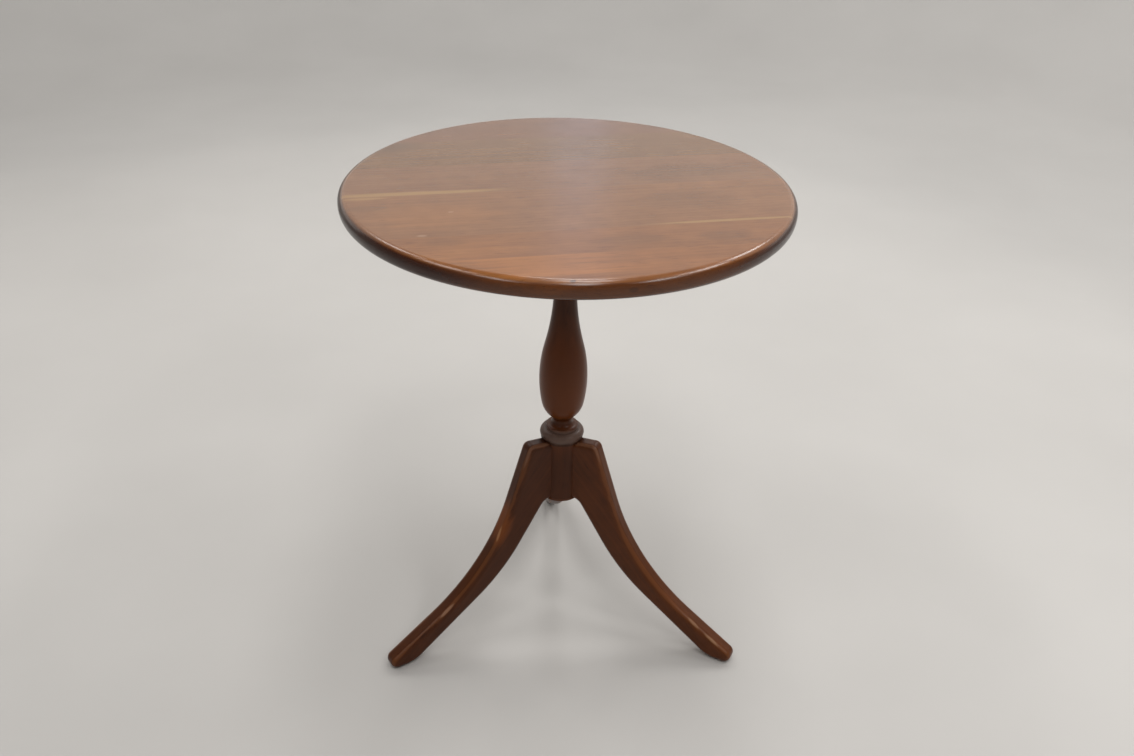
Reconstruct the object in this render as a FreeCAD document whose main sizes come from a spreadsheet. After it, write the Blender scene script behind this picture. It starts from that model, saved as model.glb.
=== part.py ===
"""Wine table: a round edge-glued top on a turned column with three swept legs.

The origin is on the floor under the column's axis, +Z is up and the rear leg points along +Y.
Lengths are in millimetres and angles in degrees.
"""
import FreeCAD
import Part
import Sketcher
import math
import os

Vector = FreeCAD.Vector

# Driving sizes, each written once
SIZES = {
    # Round top
    "top_diameter": 508.0,
    "top_thickness": 21.5,
    "edge_widest_depth": 10.0,       # from the top face down to the widest line of the rounded edge
    "edge_arris_round": 9.0,
    "edge_side_round": 16.0,
    "edge_under_round": 9.5,
    "top_angle": 8.3,               # between the boards and the X axis
    # Boards of the top: the middle glue line is set off from the axis, the outer boards run to the edge
    "middle_joint_offset": 10.0,
    "board_2_width": 87.0,
    "board_3_width": 90.0,
    "board_4_width": 117.0,
    "board_5_width": 59.0,
    # Bearer under the top
    "bearer_margin": 36.0,          # from the edge of the top in to an end of the bearer
    "bearer_width": 76.0,
    "bearer_thickness": 19.0,
    "bearer_end_thickness": 9.0,
    "bearer_bevel_length": 18.0,
    "bearer_edge_round": 3.0,
    "bearer_screw_offset": 20.0,    # the screws stand alternately either side of the middle line
    # Wood screws of the bearer
    "bearer_screw_diameter": 4.2,
    "bearer_screw_length": 33.0,
    "bearer_screw_head": 8.2,
    "bearer_screw_tip": 7.0,
    "bearer_screw_slot": 1.2,
    # Turned column, from the block up: its lengths and steps stack up to the height of the table
    "block_bottom": 182.0,
    "block_length": 85.0,
    "block_diameter": 50.0,
    "collar_step": 1.5,             # how far the collar stands out from the block
    "bead_overhang": 1.2,           # how far the bead stands out from the collar
    "bead_rise": 7.2,               # from the top of the block to the middle of the bead
    "bead_round": 6.8,
    "cove_step": 4.3,               # upright step between the bead and the cove
    "cove_diameter": 24.2,
    "cove_round": 7.7,
    "vase_lower_length": 60.0,      # from the middle of the cove to the widest part of the vase
    "vase_upper_length": 124.0,     # from there to the neck
    "vase_diameter": 59.2,
    "vase_sweep": 182.0,
    "vase_under_round": 33.0,
    "neck_diameter": 27.2,
    "neck_length": 38.5,
    "flare_length": 28.0,
    "flare_round": 60.0,
    "cap_height": 16.0,
    "cap_round": 12.0,
    # Wedged tenon at the top of the column
    "tenon_diameter": 22.0,
    "tenon_recess": 0.5,            # the tenon stops this far under the boards
    "wedge_top_width": 3.2,
    "wedge_bottom_width": 1.2,
    "wedge_depth": 15.0,
    "wedge_inset": 1.0,             # the wedge stops this far inside the side of the tenon
    # Sliding dovetails that hold the legs
    "tail_depth": 11.0,
    "tail_root_width": 10.0,
    "tail_end_width": 14.0,
    "tail_stop": 8.4,               # from the top of the block down to the end of the tail
    # Swept leg: a reach is from the column's axis and a height from the floor; the inner side of the leg
    # is set off from its outer side, and the shoulder and the knee from the block
    "leg_thickness": 23.0,
    "leg_edge_round": 7.5,
    "leg_shoulder_length": 26.5,
    "leg_shoulder_rise": 4.0,       # from the top of the block up to the corner of the shoulder
    "leg_shoulder_round": 9.0,
    "leg_outer_bend_reach": 109.0,
    "leg_outer_bend_height": 104.0,
    "leg_outer_sweep": 265.0,
    "leg_point_reach": 276.0,       # where the upper side's line meets the floor, past the rounded toe
    "leg_toe_round": 9.0,
    "leg_foot_length": 54.5,
    "leg_heel_round": 40.0,
    "leg_inner_bend_setback": 19.0,
    "leg_inner_bend_drop": 13.0,
    "leg_inner_sweep": 240.0,
    "leg_knee_length": 4.2,
    "leg_knee_round": 14.0,
    # Iron brace under the block; an arm's length runs along the leg's underside from the corner of the knee
    "brace_thickness": 1.6,
    "brace_arm_width": 8.0,
    "brace_arm_length": 38.0,
    "brace_arm_round": 3.0,
    "brace_hub_diameter": 30.0,
    "brace_screw_margin": 9.0,     # from the end of an arm back to its screw
    # Wood screws of the brace
    "brace_screw_diameter": 3.0,
    "brace_screw_length": 16.0,
    "brace_screw_head": 5.4,
    "brace_screw_tip": 4.5,
    "brace_screw_slot": 0.9,
    # Clearances
    "glue_line": 0.1,
    "screw_clearance": 0.15,
    "overrun": 4.0,                 # how far a cut runs past the face that it enters
}

# Places worked out from the driving sizes, in the order in which they follow from each other
PLACES = {
    "block_radius": "block_diameter / 2",
    "block_top": "block_bottom + block_length",
    "collar_radius": "block_radius + collar_step",
    "bead_height": "block_top + bead_rise",
    "bead_centre": "collar_radius + bead_overhang - bead_round",
    "cove_height": "bead_height + bead_round + cove_step + cove_round",
    "cove_centre": "cove_diameter / 2 + cove_round",
    "vase_height": "cove_height + vase_lower_length",
    "vase_radius": "vase_diameter / 2",
    "neck_height": "vase_height + vase_upper_length",
    "neck_radius": "neck_diameter / 2",
    "flare_bottom": "neck_height + neck_length",
    "cap_bottom": "flare_bottom + flare_length",
    "bearer_under": "cap_bottom + cap_height",
    "top_under": "bearer_under + bearer_thickness",
    "table_height": "top_under + top_thickness",
    "top_radius": "top_diameter / 2",
    "edge_widest": "table_height - edge_widest_depth",
    "joint_1_2": "board_2_width + board_3_width - middle_joint_offset",
    "joint_2_3": "board_3_width - middle_joint_offset",
    "joint_3_4": "-middle_joint_offset",
    "joint_4_5": "-middle_joint_offset - board_4_width",
    "joint_5_6": "-middle_joint_offset - board_4_width - board_5_width",
    "strip_half": "top_radius + overrun",
    "bearer_half": "top_radius - bearer_margin",
    "bearer_half_width": "bearer_width / 2",
    "bearer_flat_half": "bearer_half - bearer_bevel_length",
    "bearer_end_under": "top_under - bearer_end_thickness",
    "bearer_spot_1": "(bearer_flat_half + joint_1_2) / 2",
    "bearer_spot_2": "(joint_1_2 + joint_2_3) / 2",
    "bearer_spot_3": "(joint_2_3 + joint_3_4) / 2",
    "bearer_spot_4": "(joint_3_4 + joint_4_5) / 2",
    "bearer_spot_5": "(joint_4_5 + joint_5_6) / 2",
    "bearer_spot_6": "(joint_5_6 - bearer_flat_half) / 2",
    "bearer_pilot_depth": "bearer_screw_length - bearer_thickness + screw_clearance",
    "tenon_radius": "tenon_diameter / 2",
    "tenon_hole_radius": "tenon_radius + glue_line",
    "tenon_top": "top_under - tenon_recess",
    "tenon_cut": "tenon_diameter + overrun",
    "wedge_top_half": "wedge_top_width / 2",
    "wedge_bottom_half": "wedge_bottom_width / 2",
    "wedge_bottom": "tenon_top - wedge_depth",
    "wedge_length": "tenon_diameter - 2 * wedge_inset",
    "cope_radius": "block_radius + glue_line",
    "collar_cope_radius": "collar_radius + glue_line",
    "tail_length": "block_length - tail_stop",
    "tail_slope": "(tail_end_width - tail_root_width) / (2 * tail_depth)",
    "socket_inner": "block_radius - tail_depth",
    "socket_outer": "block_radius + overrun",
    "socket_inner_half": "tail_end_width / 2",
    "socket_outer_half": "tail_root_width / 2 - overrun * tail_slope",
    "socket_length": "tail_length + glue_line",
    "tail_inner": "socket_inner + glue_line",
    "tail_inner_half": "socket_inner_half - glue_line",
    "tail_outer_half": "socket_outer_half - glue_line",
    "leg_half_thickness": "leg_thickness / 2",
    "leg_shoulder_reach": "block_radius + leg_shoulder_length",
    "leg_shoulder_height": "block_top + leg_shoulder_rise",
    "leg_heel_reach": "leg_point_reach - leg_foot_length",
    "leg_inner_bend_reach": "leg_outer_bend_reach - leg_inner_bend_setback",
    "leg_inner_bend_height": "leg_outer_bend_height - leg_inner_bend_drop",
    "leg_knee_reach": "block_radius + leg_knee_length",
    "knee_run": "leg_inner_bend_reach - leg_knee_reach",
    "knee_drop": "block_bottom - leg_inner_bend_height",
    "knee_side": "sqrt(knee_run ^ 2 + knee_drop ^ 2)",
    "knee_out": "knee_run / knee_side",
    "knee_down": "knee_drop / knee_side",
    "knee_angle": "atan2(knee_drop; knee_run)",
    "brace_under": "block_bottom - brace_thickness",
    "brace_knee_reach": "leg_knee_reach - brace_thickness * tan(knee_angle / 2)",
    "brace_knee_round": "leg_knee_round - brace_thickness",
    "brace_tip_reach": "leg_knee_reach + brace_arm_length * knee_out",
    "brace_tip_height": "block_bottom - brace_arm_length * knee_down",
    "brace_tip_under_reach": "brace_tip_reach - brace_thickness * knee_down",
    "brace_tip_under_height": "brace_tip_height - brace_thickness * knee_out",
    "brace_arm_half": "brace_arm_width / 2",
    "brace_hub_radius": "brace_hub_diameter / 2",
    "brace_spot_reach": "brace_tip_under_reach - brace_screw_margin * knee_out",
    "brace_spot_height": "brace_tip_under_height + brace_screw_margin * knee_down",
}

SCREWS = ["bearer_screw", "brace_screw"]
for kind in SCREWS:
    PLACES[f"{kind}_radius"] = f"{kind}_diameter / 2"
    PLACES[f"{kind}_head_radius"] = f"{kind}_head / 2"
    PLACES[f"{kind}_head_depth"] = f"{kind}_head_radius - {kind}_radius"
    PLACES[f"{kind}_straight"] = f"{kind}_length - {kind}_tip"
    PLACES[f"{kind}_slot_half"] = f"{kind}_slot / 2"
    PLACES[f"{kind}_hole_radius"] = f"{kind}_radius + screw_clearance"
    PLACES[f"{kind}_sink_radius"] = f"{kind}_head_radius + screw_clearance"
    PLACES[f"{kind}_hole_depth"] = f"{kind}_length + screw_clearance"

FULL_TURN = 360.0
COUNTERSINK_ANGLE = 90.0
LEGS = ["leg_rear", "leg_left", "leg_right"]
LEG_ANGLE = FULL_TURN / len(LEGS)
JOINTS = ["joint_1_2", "joint_2_3", "joint_3_4", "joint_4_5", "joint_5_6"]
BOARD_COUNT = len(JOINTS) + 1

doc = FreeCAD.newDocument("wine_table")
sheet = doc.addObject("Spreadsheet::Sheet", "Sizes")
cells = {name: str(number) for name, number in SIZES.items()}
cells.update({name: "=" + text for name, text in PLACES.items()})
for row, (alias, content) in enumerate(cells.items(), start=1):
    sheet.set(f"A{row}", alias)
    sheet.set(f"B{row}", content)
    sheet.setAlias(f"B{row}", alias)
doc.recompute()


def value(name):
    """A cell's present value; a leading minus sign gives its opposite, and None is zero."""
    if name is None:
        return 0.0
    if name.startswith("-"):
        return -value(name[1:])
    held = getattr(sheet, name)
    return float(getattr(held, "Value", held))


def rule(name):
    """The expression that binds a property to a cell, with its sign."""
    return "-Sizes." + name[1:] if name.startswith("-") else "Sizes." + name


def origin_feature(body, role):
    """One of the body's own base planes or axes."""
    return next(item for item in body.Origin.OriginFeatures if item.Role == role)


def new_body(label):
    body = doc.addObject("PartDesign::Body", label)
    body.Label = label
    return body


def sketch_on(body, plane, height=None):
    """A sketch on one of the body's base planes, raised to the height of a cell."""
    sketch = body.newObject("Sketcher::SketchObject", body.Name + "_sketch")
    sketch.AttachmentSupport = [(origin_feature(body, plane), "")]
    sketch.MapMode = "FlatFace"
    if height is not None:
        sketch.setExpression("AttachmentOffset.Base.z", rule(height))
    return sketch


def bind(sketch, constraint, expression):
    index = sketch.addConstraint(constraint)
    sketch.setExpression(f"Constraints[{index}]", expression)


def pin(sketch, geometry, end, across, up):
    """Holds a point at the places of two cells; None holds it on the sketch's own axis."""
    for kind, axis, name in (("DistanceX", -2, across), ("DistanceY", -1, up)):
        number = value(name)
        if number == 0.0:
            sketch.addConstraint(Sketcher.Constraint("PointOnObject", geometry, end, axis))
        elif number > 0.0:
            bind(sketch, Sketcher.Constraint(kind, -1, 1, geometry, end, number), rule(name))
        else:
            opposite = name[1:] if name.startswith("-") else "-" + name
            bind(sketch, Sketcher.Constraint(kind, geometry, end, -1, 1, -number), rule(opposite))


def line(sketch, start, end):
    return sketch.addGeometry(Part.LineSegment(start, end), False)


def marker(sketch, point):
    """A point that helps to place the outline and isn't part of it."""
    return sketch.addGeometry(Part.Point(point), True)


def arc(sketch, centre, start, end, radius=None):
    """An arc that runs anticlockwise from start to end; a cell holds its radius, or the runs it joins do."""
    first = math.atan2(start.y - centre.y, start.x - centre.x)
    last = math.atan2(end.y - centre.y, end.x - centre.x)
    circle = Part.Circle(centre, Vector(0, 0, 1), (start - centre).Length)
    index = sketch.addGeometry(Part.ArcOfCircle(circle, first, last), False)
    if radius is not None:
        bind(sketch, Sketcher.Constraint("Radius", index, circle.Radius), rule(radius))
    return index


def join(sketch, first, second, kind="Coincident"):
    """Ties the ends of two runs that already meet, at a corner or smoothly."""
    gaps = {}
    for a in (1, 2):
        for b in (1, 2):
            gaps[a, b] = (sketch.getPoint(first, a) - sketch.getPoint(second, b)).Length
    a, b = min(gaps, key=gaps.get)
    sketch.addConstraint(Sketcher.Constraint(kind, first, a, second, b))


def relate(sketch, kind, *items):
    sketch.addConstraint(Sketcher.Constraint(kind, *items))


def outline(sketch, corners):
    """A closed outline through corners given as (across, up, radius), each the name of a cell or None."""
    points = [Vector(value(across), value(up), 0) for across, up, radius in corners]
    nexts = points[1:] + points[:1]
    entries = []
    exits = []
    centres = []
    for i, (across, up, radius) in enumerate(corners):
        back = (points[i - 1] - points[i]).normalize()
        ahead = (nexts[i] - points[i]).normalize()
        half = back.getAngle(ahead) / 2
        entries.append(points[i] + back * (value(radius) / math.tan(half)))
        exits.append(points[i] + ahead * (value(radius) / math.tan(half)))
        centres.append(points[i] + (back + ahead).normalize() * (value(radius) / math.sin(half)))
    runs = [line(sketch, start, end) for start, end in zip(exits, entries[1:] + entries[:1])]
    for i, (across, up, radius) in enumerate(corners):
        if radius is None:
            relate(sketch, "Coincident", runs[i - 1], 2, runs[i], 1)
            pin(sketch, runs[i], 1, across, up)
            continue
        turn = (points[i] - points[i - 1]).cross(nexts[i] - points[i]).z
        start, end = (entries[i], exits[i]) if turn > 0 else (exits[i], entries[i])
        bend = arc(sketch, centres[i], start, end, radius)
        join(sketch, runs[i - 1], bend, "Tangent")
        join(sketch, bend, runs[i], "Tangent")
        corner = marker(sketch, points[i])
        relate(sketch, "PointOnObject", corner, 1, runs[i - 1])
        relate(sketch, "PointOnObject", corner, 1, runs[i])
        pin(sketch, corner, 1, across, up)


def circles(sketch, spots, radius):
    """One circle at each (across, up) pair of cells."""
    for across, up in spots:
        centre = Vector(value(across), value(up), 0)
        index = sketch.addGeometry(Part.Circle(centre, Vector(0, 0, 1), value(radius)), False)
        bind(sketch, Sketcher.Constraint("Radius", index, value(radius)), rule(radius))
        pin(sketch, index, 3, across, up)


def feature(body, kind, **bound):
    """A feature of the body, with each named property bound to a cell."""
    made = body.newObject("PartDesign::" + kind, f"{body.Name}_{kind}")
    for name, cell in bound.items():
        made.setExpression(name, rule(cell))
    return made


def turned(body, sketch):
    """The sketch turned once about its upright axis."""
    made = feature(body, "Revolution")
    made.Profile = sketch
    made.ReferenceAxis = (sketch, ["V_Axis"])
    made.Angle = FULL_TURN


def extruded(body, kind, sketch, length, side="One side", upwards=False):
    """A pad or a pocket of the sketch, as long as a cell says."""
    made = feature(body, kind, Length=length)
    made.Profile = sketch
    made.SideType = side
    made.Reversed = upwards and kind == "Pocket"
    return made


def round_cut(body, kind, across=None, up=None, tilt=None, **bound):
    """A cylinder or cone taken away, its foot at (across, up) in the YZ plane, leaning out by the tilt."""
    tool = feature(body, kind, **bound)
    tool.AttachmentSupport = [(origin_feature(body, "XY_Plane"), "")]
    tool.MapMode = "FlatFace"
    tool.AttachmentOffset = FreeCAD.Placement(Vector(0, 0, 0), FreeCAD.Rotation(Vector(-1, 0, 0), value(tilt)))
    for name, cell in (("Base.y", across), ("Base.z", up), ("Rotation.Angle", tilt)):
        if cell is not None:
            tool.setExpression("AttachmentOffset." + name, rule(cell))


def once_per_leg(body, originals, whole=False):
    """The features, or the whole body so far, repeated round the axis for each leg."""
    pattern = feature(body, "PolarPattern")
    if whole:
        pattern.TransformMode = "Whole shape"
    pattern.Originals = originals
    pattern.Axis = (origin_feature(body, "Z_Axis"), [""])
    pattern.Angle = FULL_TURN
    pattern.Occurrences = len(LEGS)
    body.Tip = pattern


def same(first, second):
    return math.isclose(first, second, abs_tol=value("glue_line") / 2)


def rounded(body, base, radius, test):
    """A fillet along the edges of the base whose ends and middle all pass the test."""
    doc.recompute()
    names = []
    for number, edge in enumerate(base.Shape.Edges, start=1):
        middle = edge.valueAt((edge.FirstParameter + edge.LastParameter) / 2)
        if all(test(point) for point in [middle] + [vertex.Point for vertex in edge.Vertexes]):
            names.append(f"Edge{number}")
    fillet = feature(body, "Fillet", Radius=radius)
    fillet.Base = (base, names)


def swing():
    """The turn about the column's axis of the top and of what goes with it."""
    return FreeCAD.Placement(Vector(0, 0, 0), FreeCAD.Rotation(Vector(0, 0, 1), value("top_angle")))


def swung(piece):
    piece.Placement = swing()
    piece.setExpression("Placement.Rotation.Angle", rule("top_angle"))
    return piece


def bearer_screw_spots():
    """Where the bearer's screws stand: one in each board, alternately either side of the middle line."""
    sides = ["bearer_screw_offset", "-bearer_screw_offset"]
    return [(sides[number % 2], f"bearer_spot_{number}") for number in range(1, BOARD_COUNT + 1)]


def top_blank():
    """The glued top as one disc with a rounded edge, and the pilot holes of the bearer's screws."""
    body = new_body("top_blank")
    sketch = sketch_on(body, "YZ_Plane")
    side_round = value("edge_side_round")
    widest = Vector(value("top_radius"), value("edge_widest"), 0)
    side_centre = widest - Vector(side_round, 0, 0)

    def inside_side(radius, height):
        """Centre, at that height, of a smaller arc that runs smoothly into the side's arc."""
        rise = height - side_centre.y
        return side_centre + Vector(math.sqrt((side_round - value(radius)) ** 2 - rise ** 2), rise, 0)

    def meeting(centre):
        return side_centre + (centre - side_centre).normalize() * side_round

    under_axis = Vector(0, value("top_under"), 0)
    face_axis = Vector(0, value("table_height"), 0)
    under_centre = inside_side("edge_under_round", under_axis.y + value("edge_under_round"))
    arris_centre = inside_side("edge_arris_round", face_axis.y - value("edge_arris_round"))
    under_rim = Vector(under_centre.x, under_axis.y, 0)
    face_rim = Vector(arris_centre.x, face_axis.y, 0)
    underside = line(sketch, under_axis, under_rim)
    under_arc = arc(sketch, under_centre, under_rim, meeting(under_centre), "edge_under_round")
    side_arc = arc(sketch, side_centre, meeting(under_centre), meeting(arris_centre), "edge_side_round")
    arris_arc = arc(sketch, arris_centre, meeting(arris_centre), face_rim, "edge_arris_round")
    face = line(sketch, face_rim, face_axis)
    axis = line(sketch, face_axis, under_axis)
    edge = [underside, under_arc, side_arc, arris_arc, face]
    for first, second in zip(edge, edge[1:]):
        join(sketch, first, second, "Tangent")
    join(sketch, face, axis)
    join(sketch, axis, underside)
    relate(sketch, "Horizontal", underside)
    relate(sketch, "Horizontal", face)
    pin(sketch, axis, 1, None, "table_height")
    pin(sketch, axis, 2, None, "top_under")
    rim = marker(sketch, widest)
    pin(sketch, rim, 1, "top_radius", "edge_widest")
    relate(sketch, "PointOnObject", rim, 1, side_arc)
    relate(sketch, "Horizontal", rim, 1, side_arc, 3)
    turned(body, sketch)
    pilots = sketch_on(body, "XY_Plane", "top_under")
    circles(pilots, bearer_screw_spots(), "bearer_screw_hole_radius")
    extruded(body, "Pocket", pilots, "bearer_pilot_depth", upwards=True)
    return body


def top_boards():
    """The disc parted at its glue lines, from the rear board to the front one."""
    blank = top_blank()
    rears = ["strip_half"] + JOINTS
    fronts = JOINTS + ["-strip_half"]
    boards = []
    for number, (rear, front) in enumerate(zip(rears, fronts), start=1):
        strip = doc.addObject("Part::Box", f"strip_{number}")
        strip.setExpression("Length", f"2 * {rule('strip_half')}")
        strip.setExpression("Width", f"{rule(rear)} - ({rule(front)})")
        strip.setExpression("Height", rule("table_height"))
        strip.setExpression("Placement.Base.x", rule("-strip_half"))
        strip.setExpression("Placement.Base.y", rule(front))
        strip.setExpression("Placement.Base.z", rule("overrun"))
        board = doc.addObject("Part::Common", f"top_board_{number}")
        board.Base = blank
        board.Tool = strip
        boards.append(swung(board))
    return boards


def bearer():
    """Batten across the boards, bevelled at its ends, bored for the tenon and countersunk for its screws."""
    body = new_body("bearer")
    profile = sketch_on(body, "YZ_Plane")
    outline(profile, [
        ("-bearer_half", "top_under", None),
        ("-bearer_half", "bearer_end_under", None),
        ("-bearer_flat_half", "bearer_under", None),
        ("bearer_flat_half", "bearer_under", None),
        ("bearer_half", "bearer_end_under", None),
        ("bearer_half", "top_under", None),
    ])
    batten = extruded(body, "Pad", profile, "bearer_width", side="Symmetric")

    def long_lower_edge(point):
        low = point.z < value("bearer_end_under") + value("glue_line")
        return low and same(abs(point.x), value("bearer_half_width"))

    rounded(body, batten, "bearer_edge_round", long_lower_edge)
    round_cut(body, "SubtractiveCylinder", Radius="tenon_hole_radius", Height="table_height")
    spots = sketch_on(body, "XY_Plane", "bearer_under")
    circles(spots, bearer_screw_spots(), "bearer_screw_hole_radius")
    doc.recompute()
    holes = feature(body, "Hole")
    holes.Profile = spots
    holes.Reversed = True
    holes.DepthType = "ThroughAll"
    holes.HoleCutType = "Countersink"
    holes.HoleCutCustomValues = True
    holes.HoleCutCountersinkAngle = COUNTERSINK_ANGLE
    holes.setExpression("Diameter", "2 * " + rule("bearer_screw_hole_radius"))
    holes.setExpression("HoleCutDiameter", "2 * " + rule("bearer_screw_sink_radius"))
    return swung(body)


def column():
    """The turned column: tenon, cap, flared neck, vase, cove, bead, collar and the block with its sockets."""
    body = new_body("column")
    sketch = sketch_on(body, "YZ_Plane")
    belly = Vector(value("vase_radius"), value("vase_height"), 0)
    belly_centre = belly - Vector(value("vase_sweep"), 0, 0)
    cove_centre = Vector(value("cove_centre"), value("cove_height"), 0)
    bead_centre = Vector(value("bead_centre"), value("bead_height"), 0)
    # The neck's arc touches the vase's arc and ends upright at the stem, which settles its radius
    neck = Vector(value("neck_radius"), value("neck_height"), 0)
    narrowing = belly.x - neck.x
    both_sweeps = (narrowing ** 2 + (neck.y - belly.y) ** 2) / (2 * narrowing)
    neck_centre = neck + Vector(both_sweeps - value("vase_sweep"), 0, 0)
    neck_foot = belly_centre + (neck_centre - belly_centre).normalize() * value("vase_sweep")
    # The round under the vase lies inside the vase's arc and outside the cove's
    inner = value("vase_sweep") - value("vase_under_round")
    outer = value("vase_under_round") + value("cove_round")
    span = cove_centre - belly_centre
    along = (inner ** 2 - outer ** 2 + span.Length ** 2) / (2 * span.Length)
    aside = math.sqrt(inner ** 2 - along ** 2)
    ahead = span * (1 / span.Length)
    under_centre = belly_centre + ahead * along + Vector(-ahead.y, ahead.x, 0) * aside
    under_high = belly_centre + (under_centre - belly_centre).normalize() * value("vase_sweep")
    under_low = cove_centre + (under_centre - cove_centre).normalize() * value("cove_round")
    collar_rise = math.sqrt(value("bead_round") ** 2 - (value("collar_radius") - bead_centre.x) ** 2)
    flare_rise = math.sqrt(value("flare_round") ** 2 - value("flare_length") ** 2)
    flare_start = Vector(neck.x, value("flare_bottom"), 0)
    flare_centre = flare_start + Vector(value("flare_round"), 0, 0)
    flare_end = Vector(flare_centre.x - flare_rise, value("cap_bottom"), 0)
    cap_end = Vector(flare_end.x, value("bearer_under"), 0)
    cap_back = math.sqrt(value("cap_round") ** 2 - (value("cap_height") / 2) ** 2)
    cap_centre = Vector(flare_end.x - cap_back, (flare_end.y + cap_end.y) / 2, 0)
    foot = Vector(0, value("block_bottom"), 0)
    block_low = Vector(value("block_radius"), foot.y, 0)
    block_high = Vector(block_low.x, value("block_top"), 0)
    collar_low = Vector(value("collar_radius"), block_high.y, 0)
    collar_high = Vector(collar_low.x, bead_centre.y - collar_rise, 0)
    bead_top = bead_centre + Vector(0, value("bead_round"), 0)
    cove_low = cove_centre - Vector(0, value("cove_round"), 0)
    step = Vector(cove_low.x, bead_top.y, 0)
    tenon_low = Vector(value("tenon_radius"), cap_end.y, 0)
    tenon_high = Vector(tenon_low.x, value("tenon_top"), 0)
    head = Vector(0, tenon_high.y, 0)

    bottom = line(sketch, foot, block_low)
    block = line(sketch, block_low, block_high)
    ledge = line(sketch, block_high, collar_low)
    collar = line(sketch, collar_low, collar_high)
    bead = arc(sketch, bead_centre, collar_high, bead_top, "bead_round")
    tread = line(sketch, bead_top, step)
    riser = line(sketch, step, cove_low)
    cove = arc(sketch, cove_centre, under_low, cove_low, "cove_round")
    under = arc(sketch, under_centre, under_low, under_high, "vase_under_round")
    vase = arc(sketch, belly_centre, under_high, neck_foot, "vase_sweep")
    neck_arc = arc(sketch, neck_centre, neck, neck_foot)
    stem = line(sketch, neck, flare_start)
    flare = arc(sketch, flare_centre, flare_end, flare_start, "flare_round")
    cap = arc(sketch, cap_centre, flare_end, cap_end, "cap_round")
    shoulder = line(sketch, cap_end, tenon_low)
    tenon = line(sketch, tenon_low, tenon_high)
    crown = line(sketch, tenon_high, head)
    axis = line(sketch, head, foot)

    corners = [axis, bottom, block, ledge, collar, bead, tread, riser, cove]
    smooth = [cove, under, vase, neck_arc, stem, flare]
    upper = [flare, cap, shoulder, tenon, crown, axis]
    for chain, how in ((corners, "Coincident"), (smooth, "Tangent"), (upper, "Coincident")):
        for first, second in zip(chain, chain[1:]):
            join(sketch, first, second, how)
    for level in (bottom, ledge, tread, shoulder, crown):
        relate(sketch, "Horizontal", level)
    for upright in (block, collar, riser, stem, tenon):
        relate(sketch, "Vertical", upright)
    pin(sketch, axis, 2, None, "block_bottom")
    relate(sketch, "PointOnObject", axis, 1, -2)
    bind(sketch, Sketcher.Constraint("DistanceX", -1, 1, block, 1, block_low.x), rule("block_radius"))
    pin(sketch, collar, 1, "collar_radius", "block_top")
    pin(sketch, bead, 3, "bead_centre", "bead_height")
    relate(sketch, "Vertical", tread, 1, bead, 3)
    pin(sketch, cove, 3, "cove_centre", "cove_height")
    relate(sketch, "Vertical", riser, 2, cove, 3)
    widest = marker(sketch, belly)
    pin(sketch, widest, 1, "vase_radius", "vase_height")
    relate(sketch, "PointOnObject", widest, 1, vase)
    relate(sketch, "Horizontal", widest, 1, vase, 3)
    pin(sketch, stem, 1, "neck_radius", "neck_height")
    bind(sketch, Sketcher.Constraint("DistanceY", -1, 1, stem, 2, flare_start.y), rule("flare_bottom"))
    bind(sketch, Sketcher.Constraint("DistanceY", -1, 1, cap, 1, flare_end.y), rule("cap_bottom"))
    relate(sketch, "Vertical", cap, 1, cap, 2)
    pin(sketch, tenon, 1, "tenon_radius", "bearer_under")
    bind(sketch, Sketcher.Constraint("DistanceY", -1, 1, tenon, 2, tenon_high.y), rule("tenon_top"))
    turned(body, sketch)

    saw_cut = sketch_on(body, "YZ_Plane")
    turn = FreeCAD.Rotation(Vector(0, 1, 0), value("top_angle"))
    saw_cut.AttachmentOffset = FreeCAD.Placement(Vector(0, 0, 0), turn)
    saw_cut.setExpression("AttachmentOffset.Rotation.Angle", rule("top_angle"))
    outline(saw_cut, wedge_outline())
    extruded(body, "Pocket", saw_cut, "tenon_cut", side="Symmetric")
    round_cut(body, "SubtractiveCylinder", up="brace_under", Radius="brace_screw_hole_radius",
              Height="brace_screw_hole_depth")
    socket = sketch_on(body, "XY_Plane", "block_bottom")
    outline(socket, [
        ("-socket_inner_half", "socket_inner", None),
        ("socket_inner_half", "socket_inner", None),
        ("socket_outer_half", "socket_outer", None),
        ("-socket_outer_half", "socket_outer", None),
    ])
    once_per_leg(body, [extruded(body, "Pocket", socket, "socket_length", upwards=True)])
    return body


def wedge_outline():
    """Side view of the wedge and of the saw cut that it fills."""
    return [
        ("-wedge_bottom_half", "wedge_bottom", None),
        ("wedge_bottom_half", "wedge_bottom", None),
        ("wedge_top_half", "tenon_top", None),
        ("-wedge_top_half", "tenon_top", None),
    ]


def tenon_wedge():
    """Hardwood wedge that spreads the tenon in the bearer, along the bearer's grain."""
    body = new_body("tenon_wedge")
    sketch = sketch_on(body, "YZ_Plane")
    outline(sketch, wedge_outline())
    extruded(body, "Pad", sketch, "wedge_length", side="Symmetric")
    return swung(body)


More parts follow.
